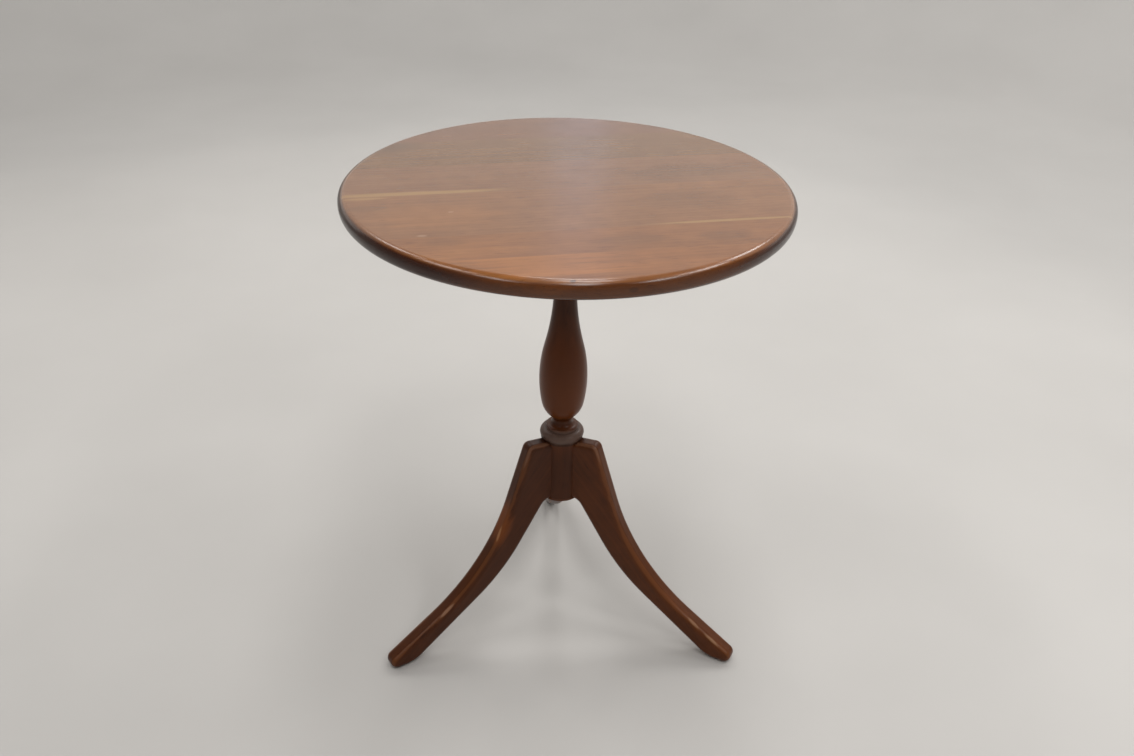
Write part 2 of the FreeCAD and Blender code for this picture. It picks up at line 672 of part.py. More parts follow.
def leg(label, turn):
    """A leg sawn to its swept profile, rounded along its edges, coped to the block and collar, and tailed."""
    body = new_body(label)
    profile = sketch_on(body, "YZ_Plane")
    outline(profile, [
        ("socket_inner", "block_top", None),
        ("socket_inner", "block_bottom", None),
        ("leg_knee_reach", "block_bottom", "leg_knee_round"),
        ("leg_inner_bend_reach", "leg_inner_bend_height", "leg_inner_sweep"),
        ("leg_heel_reach", None, "leg_heel_round"),
        ("leg_point_reach", None, "leg_toe_round"),
        ("leg_outer_bend_reach", "leg_outer_bend_height", "leg_outer_sweep"),
        ("leg_shoulder_reach", "leg_shoulder_height", "leg_shoulder_round"),
    ])
    blank = extruded(body, "Pad", profile, "leg_thickness", side="Symmetric")

    def side_edge(point):
        outside = point.y > value("socket_inner") + value("glue_line")
        return outside and same(abs(point.x), value("leg_half_thickness"))

    rounded(body, blank, "leg_edge_round", side_edge)
    round_cut(body, "SubtractiveCylinder", Radius="cope_radius", Height="table_height")
    round_cut(body, "SubtractiveCylinder", up="block_top", Radius="collar_cope_radius", Height="table_height")
    tail = sketch_on(body, "XY_Plane", "block_bottom")
    outline(tail, [
        ("-tail_inner_half", "tail_inner", None),
        ("tail_inner_half", "tail_inner", None),
        ("tail_outer_half", "socket_outer", None),
        ("-tail_outer_half", "socket_outer", None),
    ])
    extruded(body, "Pad", tail, "tail_length")
    round_cut(body, "SubtractiveCylinder", "brace_spot_reach", "brace_spot_height", "knee_angle",
              Radius="brace_screw_hole_radius", Height="brace_screw_hole_depth")
    body.Placement = FreeCAD.Placement(Vector(0, 0, 0), FreeCAD.Rotation(Vector(0, 0, 1), turn))
    return body


def leg_brace():
    """Flat iron brace: a hub under the block and three arms bent along the undersides of the legs."""
    body = new_body("leg_brace")
    profile = sketch_on(body, "YZ_Plane")
    outline(profile, [
        (None, "block_bottom", None),
        (None, "brace_under", None),
        ("brace_knee_reach", "brace_under", "brace_knee_round"),
        ("brace_tip_under_reach", "brace_tip_under_height", None),
        ("brace_tip_reach", "brace_tip_height", None),
        ("leg_knee_reach", "block_bottom", "leg_knee_round"),
    ])
    arm = extruded(body, "Pad", profile, "brace_arm_width", side="Symmetric")
    tip = Vector(0, value("brace_tip_reach"), value("brace_tip_height"))

    def tip_edge(point):
        near = (Vector(0, point.y, point.z) - tip).Length < value("brace_thickness") + value("glue_line")
        return near and same(abs(point.x), value("brace_arm_half"))

    rounded(body, arm, "brace_arm_round", tip_edge)
    hole = {"Radius": "brace_screw_hole_radius", "Height": "brace_screw_hole_depth"}
    sink = {"Radius1": "brace_screw_sink_radius", "Radius2": "brace_screw_hole_radius",
            "Height": "brace_screw_head_depth"}
    spot = ("brace_spot_reach", "brace_spot_height", "knee_angle")
    round_cut(body, "SubtractiveCylinder", *spot, **hole)
    round_cut(body, "SubtractiveCone", *spot, **sink)
    once_per_leg(body, [], whole=True)
    hub = sketch_on(body, "XY_Plane", "brace_under")
    circles(hub, [(None, None)], "brace_hub_radius")
    extruded(body, "Pad", hub, "brace_thickness")
    round_cut(body, "SubtractiveCylinder", up="brace_under", **hole)
    round_cut(body, "SubtractiveCone", up="brace_under", **sink)
    return body


def screw(kind):
    """One slotted wood screw, its head's face at the origin and its point up the Z axis."""
    body = new_body(kind)
    sketch = sketch_on(body, "YZ_Plane")
    outline(sketch, [
        (None, None, None),
        (kind + "_head_radius", None, None),
        (kind + "_radius", kind + "_head_depth", None),
        (kind + "_radius", kind + "_straight", None),
        (None, kind + "_length", None),
    ])
    turned(body, sketch)
    slot = sketch_on(body, "YZ_Plane")
    outline(slot, [
        ("-" + kind + "_slot_half", None, None),
        (kind + "_slot_half", None, None),
        (kind + "_slot_half", kind + "_slot", None),
        ("-" + kind + "_slot_half", kind + "_slot", None),
    ])
    extruded(body, "Pocket", slot, kind + "_length", side="Symmetric")
    doc.recompute()
    return body


def screw_group(label, kind, seats):
    """Copies of one screw, each at a seat given as a placement."""
    master = screw(kind)
    copies = []
    for seat in seats:
        copy = master.Shape.copy()
        copy.Placement = seat
        copies.append(copy)
    group = doc.addObject("Part::Feature", label)
    group.Shape = Part.makeCompound(copies)
    return group


def bearer_screws():
    """The bearer's screws, upright, with their heads flush with its underside."""
    seats = []
    for across, up in bearer_screw_spots():
        spot = Vector(value(across), value(up), value("bearer_under"))
        seats.append(swing() * FreeCAD.Placement(spot, FreeCAD.Rotation()))
    return screw_group("bearer_screws", "bearer_screw", seats)


def brace_screws():
    """The brace's screws: one up into the column, and one square to the arm into each leg."""
    seats = [FreeCAD.Placement(Vector(0, 0, value("brace_under")), FreeCAD.Rotation())]
    lean = FreeCAD.Rotation(Vector(-1, 0, 0), value("knee_angle"))
    spot = Vector(0, value("brace_spot_reach"), value("brace_spot_height"))
    for number in range(len(LEGS)):
        around = FreeCAD.Placement(Vector(0, 0, 0), FreeCAD.Rotation(Vector(0, 0, 1), number * LEG_ANGLE))
        seats.append(around * FreeCAD.Placement(spot, lean))
    return screw_group("brace_screws", "brace_screw", seats)


pieces = top_boards()
pieces += [bearer(), bearer_screws(), column(), tenon_wedge()]
pieces += [leg(label, number * LEG_ANGLE) for number, label in enumerate(LEGS)]
pieces += [leg_brace(), brace_screws()]
doc.recompute()

faults = [item.Label for item in doc.Objects if "Invalid" in item.State or "Error" in item.State]
faults += [piece.Label for piece in pieces if piece.Shape.isNull() or not piece.Shape.isValid()]
if faults:
    raise RuntimeError("these objects failed: " + ", ".join(faults))

os.makedirs("parts", exist_ok=True)
for piece in pieces:
    piece.Shape.exportStep(f"parts/{piece.Label}.step")
    print(piece.Label, len(piece.Shape.Solids), "solids", round(piece.Shape.Volume), "mm3")
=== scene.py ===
import math

import bpy
from mathutils import Matrix, Vector


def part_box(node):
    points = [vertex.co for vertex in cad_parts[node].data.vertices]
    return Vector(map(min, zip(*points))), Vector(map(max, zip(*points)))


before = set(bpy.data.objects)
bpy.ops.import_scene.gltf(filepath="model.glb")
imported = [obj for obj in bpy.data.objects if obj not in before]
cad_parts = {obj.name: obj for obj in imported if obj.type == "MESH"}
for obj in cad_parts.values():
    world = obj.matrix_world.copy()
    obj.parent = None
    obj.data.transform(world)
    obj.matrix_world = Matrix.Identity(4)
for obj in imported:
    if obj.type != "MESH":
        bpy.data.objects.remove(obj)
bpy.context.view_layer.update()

# Column: one turned piece of dark walnut, with the tenon at its top and the sockets of the legs in its block.
# It was turned and sanded on the lathe, stained and lacquered, so its grain runs up the column.
UP = Vector((0, 0, 1))


def linear(code):
    """An sRGB hex colour as the linear values that Blender's sockets hold."""
    parts = [int(code[i:i + 2], 16) / 255 for i in (1, 3, 5)]
    return [c / 12.92 if c <= 0.04045 else ((c + 0.055) / 1.055) ** 2.4 for c in parts] + [1.0]


def add(tree, kind, sockets=(), stops=(), **settings):
    """Adds a node with its settings, its ramp's stops and its sockets, each a value or another's output."""
    made = tree.nodes.new(kind)
    for name, setting in settings.items():
        setattr(made, name, setting)
    for number, (place, colour) in enumerate(stops):
        ramp = made.color_ramp.elements
        stop = ramp[number] if number < 2 else ramp.new(place)
        stop.position = place
        stop.color = linear(colour)
    for name, content in dict(sockets).items():
        if isinstance(content, bpy.types.NodeSocket):
            tree.links.new(content, made.inputs[name])
        else:
            made.inputs[name].default_value = content
    return made


def blank_material(name):
    """A named material with an empty node tree, and that tree."""
    material = bpy.data.materials.new(name)
    material.use_nodes = True
    material.node_tree.nodes.clear()
    return material, material.node_tree


def dress(node, material):
    """Puts the material on every slot of a CAD node."""
    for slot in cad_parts[node].material_slots:
        slot.material = material


# Walnut: growth rings about a heart outside the piece, long tone streaks, blotches where the stain took
# unevenly, fine fibres and short open pores that hold the stain. They give the eye a soft figure that runs
# with the grain. Real fibres are finer and real pores about 0.3 mm wide, so both are drawn coarser to show.
# Each pattern has its width, its scale along the grain, its detail and its roughness.
PATTERNS = {
    "streaks": (0.012, 0.03, 4.0, 0.6),
    "blotches": (0.03, 1.0, 2.0, 0.5),
    "fibres": (0.0024, 0.03, 3.0, 0.7),
    "pores": (0.0011, 0.06, 1.0, 0.5),
}
RING_WIDTH = 0.007
RING_SCALE_ALONG = 0.06
RING_WAVER = 9.0
PATTERN_SHARES = {"rings": 0.1, "streaks": 0.65, "blotches": 0.6, "fibres": 0.22}
PORE_SHADE = "#a08c80"
PORE_DEPTH = -0.6          # against the height of the fibres


def grained_wood(name, along, across, heart, tones, figure=1.0):
    """Solid wood with its grain along one direction, its rings about a heart and its figure's contrast."""
    material, tree = blank_material(name)
    along = Vector(along).normalized()
    across = (Vector(across) - along * Vector(across).dot(along)).normalized()
    to_grain = Matrix((along, across, along.cross(across))).to_euler()
    place = add(tree, "ShaderNodeTexCoord").outputs["Object"]
    grain = add(tree, "ShaderNodeMapping", {"Vector": place, "Rotation": to_grain, "Location": heart})
    drawn = {}
    for pattern, (width, scale_along, detail, roughness) in PATTERNS.items():
        stretched = add(tree, "ShaderNodeMapping", {
            "Vector": grain.outputs["Vector"], "Scale": (scale_along, 1, 1),
        })
        drawn[pattern] = add(tree, "ShaderNodeTexNoise", {
            "Vector": stretched.outputs["Vector"], "Scale": 1 / width,
            "Detail": detail, "Roughness": roughness,
        }).outputs["Fac"]
    stretched = add(tree, "ShaderNodeMapping", {
        "Vector": grain.outputs["Vector"], "Scale": (RING_SCALE_ALONG, 1, 1),
    })
    drawn["rings"] = add(tree, "ShaderNodeTexWave", {
        "Vector": stretched.outputs["Vector"], "Scale": math.pi / 10 / RING_WIDTH,
        "Distortion": RING_WAVER, "Detail": 3.0, "Detail Scale": 0.5,
    }, wave_type="RINGS", rings_direction="X").outputs["Fac"]
    tone = 0.5 - figure * sum(PATTERN_SHARES.values()) / 2
    for pattern, share in PATTERN_SHARES.items():
        tone = add(tree, "ShaderNodeMath", {
            0: drawn[pattern], 1: share * figure, 2: tone,
        }, operation="MULTIPLY_ADD").outputs[0]
    colour = add(tree, "ShaderNodeValToRGB", {"Fac": tone}, tones)
    pores = add(tree, "ShaderNodeMapRange", {
        "Value": drawn["pores"], "From Min": 0.6, "From Max": 0.75, "To Max": 0.5,
    })
    shaded = add(tree, "ShaderNodeMix", {
        "Factor": pores.outputs[0], "A": colour.outputs["Color"], "B": linear(PORE_SHADE),
    }, data_type="RGBA", blend_type="MULTIPLY")
    relief = add(tree, "ShaderNodeMath", {
        0: pores.outputs[0], 1: PORE_DEPTH, 2: drawn["fibres"],
    }, operation="MULTIPLY_ADD")
    return {
        "material": material, "tree": tree, "place": place, "streaks": drawn["streaks"],
        "colour": shaded.outputs["Result"], "relief": relief.outputs[0],
    }


def patch(wood, centre, along, lengths):
    """A mask that is 1 at a place on the wood and falls to 0 at the lengths along and across a direction."""
    there = add(wood["tree"], "ShaderNodeMapping", {
        "Vector": wood["place"], "Location": centre, "Scale": lengths,
        "Rotation": Vector(along).to_track_quat("X", "Z").to_euler(),
    }, vector_type="TEXTURE")
    return add(wood["tree"], "ShaderNodeTexGradient", {
        "Vector": there.outputs["Vector"],
    }, gradient_type="SPHERICAL").outputs["Fac"]


TINT_FADE = 0.2            # how far to either side of a half the edge of a tint fades


def tint(wood, where, code, most, ragged=0.5, how="MIX"):
    """Lays a colour on the wood where a mask passes a half; streaks along the grain break up its edge."""
    edge = 0.5 + ragged / 2
    broken = add(wood["tree"], "ShaderNodeMath", {
        0: wood["streaks"], 1: ragged, 2: where,
    }, operation="MULTIPLY_ADD")
    amount = add(wood["tree"], "ShaderNodeMapRange", {
        "Value": broken.outputs[0], "From Min": edge - TINT_FADE, "From Max": edge + TINT_FADE,
        "To Max": most,
    }, interpolation_type="SMOOTHSTEP")
    wood["colour"] = add(wood["tree"], "ShaderNodeMix", {
        "Factor": amount.outputs[0], "A": wood["colour"], "B": linear(code),
    }, data_type="RGBA", blend_type=how).outputs["Result"]


RUB_WIDTH = 0.045
RUBBED_SMOOTHER, RUBBED_DULLER = 0.02, 0.045
RELIEF_STRENGTH = 0.06
RELIEF_DEPTH = 0.0003


def surface(wood, roughness, ior):
    """The surface of the wood, lacquered or bare: hands have rubbed it unevenly, and its pores show."""
    tree = wood["tree"]
    rubbed = add(tree, "ShaderNodeTexNoise", {
        "Vector": wood["place"], "Scale": 1 / RUB_WIDTH, "Detail": 3.0,
    })
    sheen = add(tree, "ShaderNodeMapRange", {
        "Value": rubbed.outputs["Fac"], "From Min": 0.3, "From Max": 0.7,
        "To Min": roughness - RUBBED_SMOOTHER, "To Max": roughness + RUBBED_DULLER,
    })
    bump = add(tree, "ShaderNodeBump", {
        "Height": wood["relief"], "Strength": RELIEF_STRENGTH, "Distance": RELIEF_DEPTH,
    })
    shader = add(tree, "ShaderNodeBsdfPrincipled", {
        "Base Color": wood["colour"], "Roughness": sheen.outputs[0], "IOR": ior,
        "Normal": bump.outputs["Normal"],
    })
    add(tree, "ShaderNodeOutputMaterial", {"Surface": shader.outputs["BSDF"]})
    return wood["material"]


# Dark stain under satin lacquer gives a deep red brown with a weak, soft sheen.
DARK_TONES = [(0.0, "#2b1204"), (0.35, "#3c1b06"), (0.65, "#482208"), (1.0, "#5c2f0f")]
# Near-black painted shade, laid in the cove, in the groove over the legs and on the leg tops against the
# column.
RECESS_SHADE = "#1c0c06"
SATIN_ROUGHNESS = 0.31
BASE_IOR = 1.30            # lacquer is about 1.5, but the worn finish of the base shines less
BASE_FIGURE = 0.7
TURNING_PITCH = 0.0016     # spacing of the lathe's faint rings, drawn coarser than the sanding left them
TURNING_SCALE_AROUND = 0.02
TURNING_DEPTH = 0.7        # against the height of the fibres
column = grained_wood("stained_walnut_column", UP, (1, 0, 0), (0.0, 0.06, 0.05), DARK_TONES, BASE_FIGURE)
around = add(column["tree"], "ShaderNodeMapping", {
    "Vector": column["place"], "Scale": (TURNING_SCALE_AROUND, TURNING_SCALE_AROUND, 1),
})
turning = add(column["tree"], "ShaderNodeTexNoise", {
    "Vector": around.outputs["Vector"], "Scale": 1 / TURNING_PITCH,
})
column["relief"] = add(column["tree"], "ShaderNodeMath", {
    0: turning.outputs["Fac"], 1: TURNING_DEPTH, 2: column["relief"],
}, operation="MULTIPLY_ADD").outputs[0]
column_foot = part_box("column")[0][2]
# Bands around the column as height over its foot, reach up and down, colour and strength
for rise, reach, code, most in (
    (0.1630, 0.150, "#693511", 0.7),     # painted light: the belly of the vase lifted to a lighter brown
    (0.1125, 0.014, RECESS_SHADE, 0.5),    # painted shade darkening the cove
    (0.0870, 0.006, RECESS_SHADE, 0.6),    # painted shade in the groove over the legs
    (0.0955, 0.014, "#685850", 0.75),    # the bead greyed: rubbed dull, and a painted reflection of the floor
    (0.0000, 0.005, "#6a4229", 0.4),     # the stain worn from the foot of the block
):
    band = patch(column, UP * (column_foot + rise), UP, (reach, 1, 1))
    tint(column, band, code, most, ragged=0.3)
dress("column", surface(column, SATIN_ROUGHNESS, BASE_IOR))

# Legs: three swept legs sawn from dark walnut plank, their edges rounded by hand, stained and lacquered.
# Each is held to the column's block by a glued sliding dovetail, and its grain runs from shoulder to toe.
# The stain has gone from the edges, most of all at the shoulders, and from scuffed places on the front legs.
FULL_TURN = 2 * math.pi
LEG_DROP = math.radians(48)
LEG_TONES = {
    "leg_rear": DARK_TONES,
    "leg_left": [(0.0, "#2e1303"), (0.35, "#3f1c06"), (0.65, "#4b2409"), (1.0, "#623211")],
    "leg_right": [(0.0, "#371906"), (0.35, "#4c250a"), (0.65, "#5a2d0f"), (1.0, "#703f1d")],
}
WORN_EDGE = "#84522f"
WORN_SHOULDER = "#86614c"
SHOULDER_RISE, SHOULDER_REACH = 0.086, 0.04                   # over the column's foot
CORNER_RISE, CORNER_REACH = 0.088, (0.02, 0.06, 0.06)         # where painted shade darkens the leg tops against the column
# Scuffs as place, direction, half lengths along and across it, colour and strength
LEG_SCUFFS = {
    "leg_rear": [],
    "leg_left": [
        ((-0.0750, -0.0475, 0.1660), (-0.28, -0.27, -0.92), 0.056, 0.0200, "#7a4018", 0.6),
        ((-0.0800, -0.0530, 0.1520), (-0.28, -0.27, -0.92), 0.022, 0.0035, "#a87a55", 0.6),
        ((-0.1467, -0.0945, 0.0622), (-0.72, -0.43, -0.55), 0.022, 0.0035, "#a07a60", 0.5),
        ((-0.1745, -0.1118, 0.0399), (-0.72, -0.43, -0.55), 0.020, 0.0040, "#2a140b", 0.5),
    ],
    "leg_right": [
        ((0.1706, -0.1074, 0.0448), (0.72, -0.43, -0.55), 0.018, 0.0035, "#9a7352", 0.5),
        ((0.1921, -0.1203, 0.0288), (0.72, -0.43, -0.55), 0.024, 0.0040, "#a07a58", 0.5),
    ],
}
for number, (leg, tones) in enumerate(LEG_TONES.items()):
    turn = number * FULL_TURN / len(LEG_TONES)
    out = Vector((-math.sin(turn), math.cos(turn), 0))
    side = Vector((math.cos(turn), math.sin(turn), 0))
    along = out * math.cos(LEG_DROP) - UP * math.sin(LEG_DROP)
    heart = (0.3 * number, 0.05 + 0.01 * number, 0.07)
    wood = grained_wood("stained_walnut_" + leg, along, side, heart, tones, BASE_FIGURE)
    tree = wood["tree"]
    facing = add(tree, "ShaderNodeTexCoord").outputs["Normal"]
    aslant = add(tree, "ShaderNodeVectorMath", {0: facing, 1: 2 * side}, operation="DOT_PRODUCT")
    edges = add(tree, "ShaderNodeMath", {0: aslant.outputs["Value"], 1: 1.0}, operation="PINGPONG").outputs[0]
    tint(wood, edges, WORN_EDGE, 0.3, ragged=1.6)
    shoulder = add(tree, "ShaderNodeMath", {
        0: edges, 1: patch(wood, UP * (column_foot + SHOULDER_RISE), UP, (SHOULDER_REACH, 1, 1)),
    }, operation="MULTIPLY")
    tint(wood, shoulder.outputs[0], WORN_SHOULDER, 0.5, ragged=0.6)
    # Painted shade: the leg tops darken where they face up against the column.
    upward = add(tree, "ShaderNodeVectorMath", {0: facing, 1: UP}, operation="DOT_PRODUCT")
    shaded_corner = add(tree, "ShaderNodeMath", {
        0: upward.outputs["Value"], 1: patch(wood, UP * (column_foot + CORNER_RISE), UP, CORNER_REACH),
    }, operation="MULTIPLY")
    tint(wood, shaded_corner.outputs[0], RECESS_SHADE, 0.8, ragged=0.3)
    for centre, run, length, width, code, most in LEG_SCUFFS[leg]:
        tint(wood, patch(wood, centre, run, (length, width, width)), code, most, ragged=0.8)
    dress(leg, surface(wood, SATIN_ROUGHNESS, BASE_IOR))

# Brace: a three-armed plate of flat iron under the block, bent to the undersides of the legs, painted black.
# It keeps the legs from spreading and is screwed to the block and to each leg.
# Brushed black paint looks soft and grainy, and small flakes of it have gone, where brown rust shows.
PAINT_GRAIN = 0.0012
FLAKE_WIDTH = 0.011
PAINT_TONES = [(0.3, "#141312"), (0.7, "#262321")]
RUST = "#4a2b1c"
brace_iron, tree = blank_material("black_painted_iron")
place = add(tree, "ShaderNodeTexCoord").outputs["Object"]
mottle = add(tree, "ShaderNodeTexNoise", {"Vector": place, "Scale": 1 / PAINT_GRAIN, "Detail": 4.0})
flakes = add(tree, "ShaderNodeTexNoise", {
    "Vector": place, "Scale": 1 / FLAKE_WIDTH, "Detail": 5.0, "Roughness": 0.7,
})
bared = add(tree, "ShaderNodeMapRange", {"Value": flakes.outputs["Fac"], "From Min": 0.6, "From Max": 0.72})
paint = add(tree, "ShaderNodeValToRGB", {"Fac": mottle.outputs["Fac"]}, PAINT_TONES)
colour = add(tree, "ShaderNodeMix", {
    "Factor": bared.outputs[0], "A": paint.outputs["Color"], "B": linear(RUST),
}, data_type="RGBA")
sheen = add(tree, "ShaderNodeMapRange", {"Value": flakes.outputs["Fac"], "To Min": 0.4, "To Max": 0.75})
bump = add(tree, "ShaderNodeBump", {"Height": mottle.outputs["Fac"], "Strength": 0.3, "Distance": 0.0003})
shader = add(tree, "ShaderNodeBsdfPrincipled", {
    "Base Color": colour.outputs["Result"], "Roughness": sheen.outputs[0], "Normal": bump.outputs["Normal"],
})
add(tree, "ShaderNodeOutputMaterial", {"Surface": shader.outputs["BSDF"]})
dress("leg_brace", brace_iron)

# Screws: slotted countersunk wood screws of plain steel, turned and slotted, a little dull with age.
# Four hold the brace, and six go up through the bearer into the boards.
# Turned steel shows fine tool marks and a bright grey that tarnish has dulled in patches.
TOOL_MARK = 0.0005
TARNISH_WIDTH = 0.0033
STEEL_TONES = [(0.3, "#6e6a64"), (0.7, "#b4b0aa")]
steel, tree = blank_material("turned_steel")
place = add(tree, "ShaderNodeTexCoord").outputs["Object"]
turning = add(tree, "ShaderNodeTexNoise", {"Vector": place, "Scale": 1 / TOOL_MARK, "Detail": 2.0})
tarnish = add(tree, "ShaderNodeTexNoise", {"Vector": place, "Scale": 1 / TARNISH_WIDTH, "Detail": 4.0})
colour = add(tree, "ShaderNodeValToRGB", {"Fac": tarnish.outputs["Fac"]}, STEEL_TONES)
sheen = add(tree, "ShaderNodeMapRange", {"Value": tarnish.outputs["Fac"], "To Min": 0.5, "To Max": 0.28})
bump = add(tree, "ShaderNodeBump", {"Height": turning.outputs["Fac"], "Strength": 0.2, "Distance": 0.0001})
shader = add(tree, "ShaderNodeBsdfPrincipled", {
    "Base Color": colour.outputs["Color"], "Metallic": 1.0, "Roughness": sheen.outputs[0],
    "Normal": bump.outputs["Normal"],
})
add(tree, "ShaderNodeOutputMaterial", {"Surface": shader.outputs["BSDF"]})
dress("brace_screws", steel)
dress("bearer_screws", steel)

# Bearer: a planed walnut batten across the undersides of the boards, bored for the tenon, screwed from below.
# It was left without lacquer, and age has browned it, so it looks dull and has no sheen.
BOARD_TURN = math.radians(8.3)
BARE_ROUGHNESS = 0.7
BARE_IOR = 1.45
BEARER_TONES = [(0.0, "#3d2616"), (0.4, "#523521"), (0.7, "#62422b"), (1.0, "#755238")]
board_along = Vector((math.cos(BOARD_TURN), math.sin(BOARD_TURN), 0))
board_across = Vector((-math.sin(BOARD_TURN), math.cos(BOARD_TURN), 0))
bearer = grained_wood("planed_walnut_bearer", board_across, board_along, (0.4, 0.09, -0.5), BEARER_TONES)
dress("bearer", surface(bearer, BARE_ROUGHNESS, BARE_IOR))

# Wedge: a slip of oak driven into the saw cut of the tenon, which spreads it in the bearer.
# It was split and sawn flush, and left bare, so it looks pale beside the walnut.
OAK_TONES = [(0.0, "#8a6a42"), (0.4, "#a98757"), (0.7, "#bd9c6b"), (1.0, "#c9ab7c")]
wedge = grained_wood("sawn_oak_wedge", UP, board_across, (0.2, 0.03, 0.02), OAK_TONES)
dress("tenon_wedge", surface(wedge, BARE_ROUGHNESS, BARE_IOR))

# Top: six walnut boards glued edge to edge, turned to a disc with a rounded rim, and lacquered.
# Each board has its own tone and run of grain, two keep strips of pale sapwood, and the rim took more stain
# than the face, most of all on the end grain at the two ends of the boards. The rim's darkening by how far it
# turns from up is partly that stain and partly painted shade.
TOP_ROUGHNESS = 0.205
TOP_IOR = 1.48
# Clear lacquer lets the warm brown of the walnut show and mirrors softly what stands behind it.
TOP_TONES = [
    [(0.0, "#4f2f1c"), (0.35, "#603b25"), (0.65, "#69432a"), (1.0, "#774f33")],
    [(0.0, "#50321b"), (0.35, "#613f23"), (0.65, "#6a4728"), (1.0, "#795432")],
    [(0.0, "#583721"), (0.35, "#6a4429"), (0.65, "#734c2f"), (1.0, "#825a39")],
    [(0.0, "#5d381e"), (0.35, "#6f4626"), (0.65, "#794e2c"), (1.0, "#885c37")],
    [(0.0, "#603819"), (0.35, "#724522"), (0.65, "#7b4c26"), (1.0, "#8a5b30")],
    [(0.0, "#653a1a"), (0.35, "#774823"), (0.65, "#814f27"), (1.0, "#8f5f32")],
]
SAPWOOD = ("#927040", "MIX")
RUBBED = ("#b69a80", "MIX")
DARK_FIGURE = ("#a2a6c4", "MULTIPLY")
WARM_FIGURE = ("#55330a", "ADD")
MARK_DEPTH = 0.06
# Marks on the face as board, place along and across the boards, half lengths, kind and strength
FACE_MARKS = [
    (3, -0.165, -0.005, 0.170, 0.009, SAPWOOD, 0.62),
    (4, -0.225, -0.014, 0.040, 0.006, SAPWOOD, 0.50),
    (4, 0.150, -0.1235, 0.130, 0.005, SAPWOOD, 0.60),
    (4, -0.173, -0.122, 0.011, 0.005, RUBBED, 0.24),
    (4, -0.138, -0.063, 0.006, 0.003, RUBBED, 0.24),
    (2, -0.190, 0.150, 0.080, 0.030, DARK_FIGURE, 0.35),
    (3, 0.140, 0.030, 0.130, 0.050, DARK_FIGURE, 0.28),
    (4, -0.150, -0.070, 0.110, 0.060, WARM_FIGURE, 0.30),
    (4, -0.225, -0.041, 0.040, 0.018, DARK_FIGURE, 0.25),
    (4, 0.120, -0.060, 0.120, 0.050, DARK_FIGURE, 0.20),
    (5, -0.150, -0.160, 0.120, 0.050, WARM_FIGURE, 0.30),
    (5, -0.154, -0.141, 0.046, 0.022, DARK_FIGURE, 0.28),
    (5, 0.034, -0.158, 0.054, 0.026, DARK_FIGURE, 0.28),
    (5, 0.130, -0.163, 0.046, 0.026, DARK_FIGURE, 0.30),
    (6, -0.070, -0.205, 0.150, 0.060, WARM_FIGURE, 0.60),
]
# The rim and underside darken as the surface turns from up: partly the stain they took, partly painted shade.
RIM_STAIN_AND_SHADE = "#bca77c"
RIM_STARTS, RIM_FULL = 0.98, 0.4     # how far the surface faces up where the rim's stain and painted shade start and are full
END_GRAIN_STAIN = "#94786a"
NICK = "#2a170d"
# A nick and a dark spot on the front edge as place, half lengths along and across the boards and strength
EDGE_MARKS = [
    ((-0.0086, -0.2485, 0.5992), 0.006, 0.003, 0.7),
    ((0.0484, -0.2493, 0.5904), 0.009, 0.005, 0.4),
]
top_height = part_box("top_board_1")[1][2]
for number, tones in enumerate(TOP_TONES, start=1):
    heart = (0.7 * number, 0.05 * (-1) ** number, -0.5 - 0.03 * number)
    board = grained_wood(f"lacquered_walnut_board_{number}", board_along, board_across, heart, tones)
    tree = board["tree"]
    for owner, along, across, length, width, (code, how), most in FACE_MARKS:
        if owner == number:
            centre = board_along * along + board_across * across + UP * top_height
            mark = patch(board, centre, board_along, (length, width, MARK_DEPTH))
            tint(board, mark, code, most, ragged=1.3, how=how)
    facing = add(tree, "ShaderNodeTexCoord").outputs["Normal"]
    upward = add(tree, "ShaderNodeVectorMath", {0: facing, 1: UP}, operation="DOT_PRODUCT")
    # Partly painted shade: darker as the surface turns from up, over the rim's stain.
    rim = add(tree, "ShaderNodeMapRange", {
        "Value": upward.outputs["Value"], "From Min": RIM_STARTS, "From Max": RIM_FULL,
    })
    tint(board, rim.outputs[0], RIM_STAIN_AND_SHADE, 1.0, ragged=0.3, how="MULTIPLY")
    endwise = add(tree, "ShaderNodeVectorMath", {0: facing, 1: board_along}, operation="DOT_PRODUCT")
    end_grain = add(tree, "ShaderNodeMath", {0: endwise.outputs["Value"]}, operation="ABSOLUTE")
    tint(board, end_grain.outputs[0], END_GRAIN_STAIN, 1.0, ragged=0.2, how="MULTIPLY")
    if number == len(TOP_TONES):
        for centre, length, width, most in EDGE_MARKS:
            tint(board, patch(board, centre, board_along, (length, width, width)), NICK, most)
    dress(f"top_board_{number}", surface(board, TOP_ROUGHNESS, TOP_IOR))

# Studio: a plain pale floor that sweeps up into a round wall, soft panels overhead and behind, and a dim sky.
# The floor is one sheet of matt painted board, and the camera stands where the photograph was taken from.
SWEEP_RADIUS, SWEEP_HEIGHT, SWEEP_ROUND = 4.2, 3.2, 1.4
bpy.ops.object.select_all(action="DESELECT")
bpy.ops.mesh.primitive_circle_add(vertices=128, radius=SWEEP_RADIUS, fill_type="NGON")
floor = bpy.context.object
floor.name = "studio_floor"
bpy.ops.object.mode_set(mode="EDIT")
bpy.ops.mesh.select_mode(type="EDGE")
bpy.ops.mesh.select_all(action="SELECT")
bpy.ops.mesh.extrude_edges_move(TRANSFORM_OT_translate={"value": (0, 0, SWEEP_HEIGHT)})
bpy.ops.object.mode_set(mode="OBJECT")
low = [vertex.co.z < SWEEP_HEIGHT / 2 for vertex in floor.data.vertices]
for edge in floor.data.edges:
    edge.select = all(low[end] for end in edge.vertices)
bpy.ops.object.mode_set(mode="EDIT")
bpy.ops.mesh.bevel(offset=SWEEP_ROUND, segments=16, affect="EDGES")
bpy.ops.mesh.select_all(action="SELECT")
bpy.ops.mesh.normals_make_consistent(inside=True)
bpy.ops.object.mode_set(mode="OBJECT")
bpy.ops.object.shade_smooth_by_angle(angle=math.radians(30))
